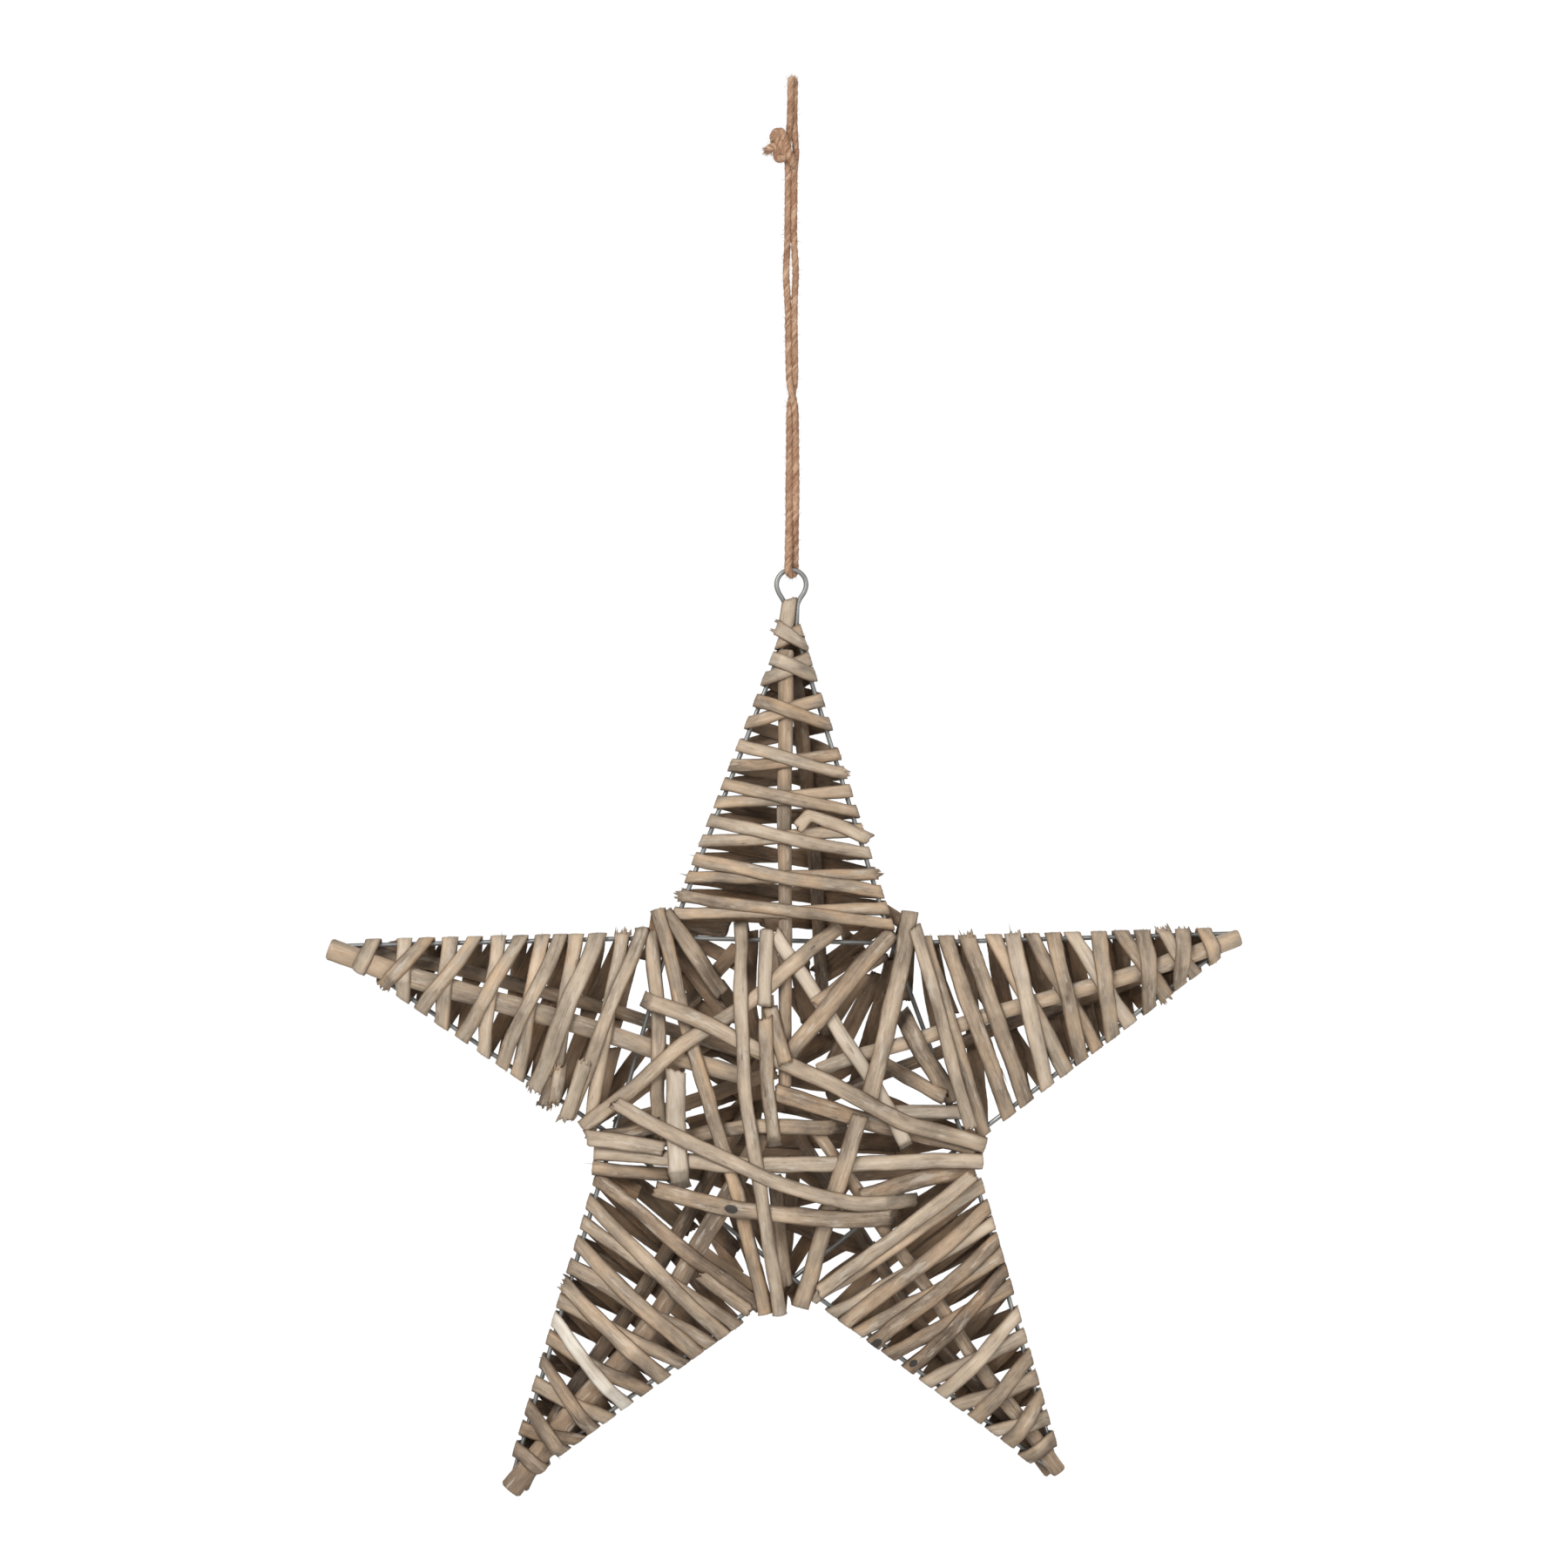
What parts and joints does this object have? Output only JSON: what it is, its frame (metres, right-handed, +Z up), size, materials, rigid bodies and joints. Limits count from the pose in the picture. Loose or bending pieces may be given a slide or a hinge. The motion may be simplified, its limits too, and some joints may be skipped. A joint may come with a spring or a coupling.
{
  "type": "wicker star ornament",
  "caption": "Hanging star of split willow strips wound over willow rods and a bent wire frame, on a doubled twine loop.",
  "frame": {"origin": "the top bend of the twine loop, where a hook or nail holds it", "axes": "+Z up, the front faces -Y, +X to the right of someone who looks at the front"},
  "size_m": [0.401, 0.0566, 0.6184],
  "materials": {
    "willow": "weathered split willow, matt",
    "willow_light": "pale split willow, matt",
    "willow_dark": "dark brown split willow, matt",
    "rod_willow": "round willow rod with its bark, matt",
    "galvanised_wire": "dull galvanised wire",
    "jute": "three-ply jute twine"
  },
  "bodies": {
    "root": {"across": "willow", "across_lower": "willow", "across_short": "willow", "back_band": "willow_dark", "back_left_slope": "willow_dark", "back_low_middle": "willow_dark", "back_low_right": "willow_dark", "back_rising_left": "willow_dark", "back_rising_right": "willow_dark", "back_slant_middle": "willow_dark", "back_slant_right": "willow_dark", "back_slope_left": "willow_dark", "back_slope_low": "willow_dark", "back_slope_top": "willow_dark", "back_top_band": "willow_dark", "back_upright": "willow_dark", "cross_low": "willow", "diagonal_cross": "willow", "diagonal_light": "willow_light", "diagonal_long": "willow", "diagonal_short": "willow", "diagonal_under": "willow", "hanging_ring": "galvanised_wire", "leaf_left": "willow", "lining_across": "willow_dark", "lining_bar": "willow_dark", "lining_right": "willow_dark", "loop_left": "willow", "middle_lower": "willow", "middle_slip": "willow", "middle_torn": "willow", "middle_upper": "willow", "rod_back_bottom_left": "rod_willow", "rod_back_bottom_right": "rod_willow", "rod_back_left": "rod_willow", "rod_back_right": "rod_willow", "rod_back_top": "rod_willow", "rod_front_bottom_left": "rod_willow", "rod_front_bottom_right": "rod_willow", "rod_front_left": "rod_willow", "rod_front_right": "rod_willow", "rod_front_top": "rod_willow", "short_low_right": "willow", "short_right": "willow", "short_upper_left": "willow", "side_left": "willow", "side_left_long": "willow", "slant_right_lower": "willow", "slant_right_upper": "willow", "tip_binding": "willow", "twig": "willow", "twine_knot": "jute", "twine_loop": "jute", "upright_long": "willow", "wire_frame": "galvanised_wire", "wrap_bottom_left": "willow", "wrap_bottom_right": "willow", "wrap_left": "willow", "wrap_right": "willow", "wrap_top": "willow"}
  },
  "joints": []
}
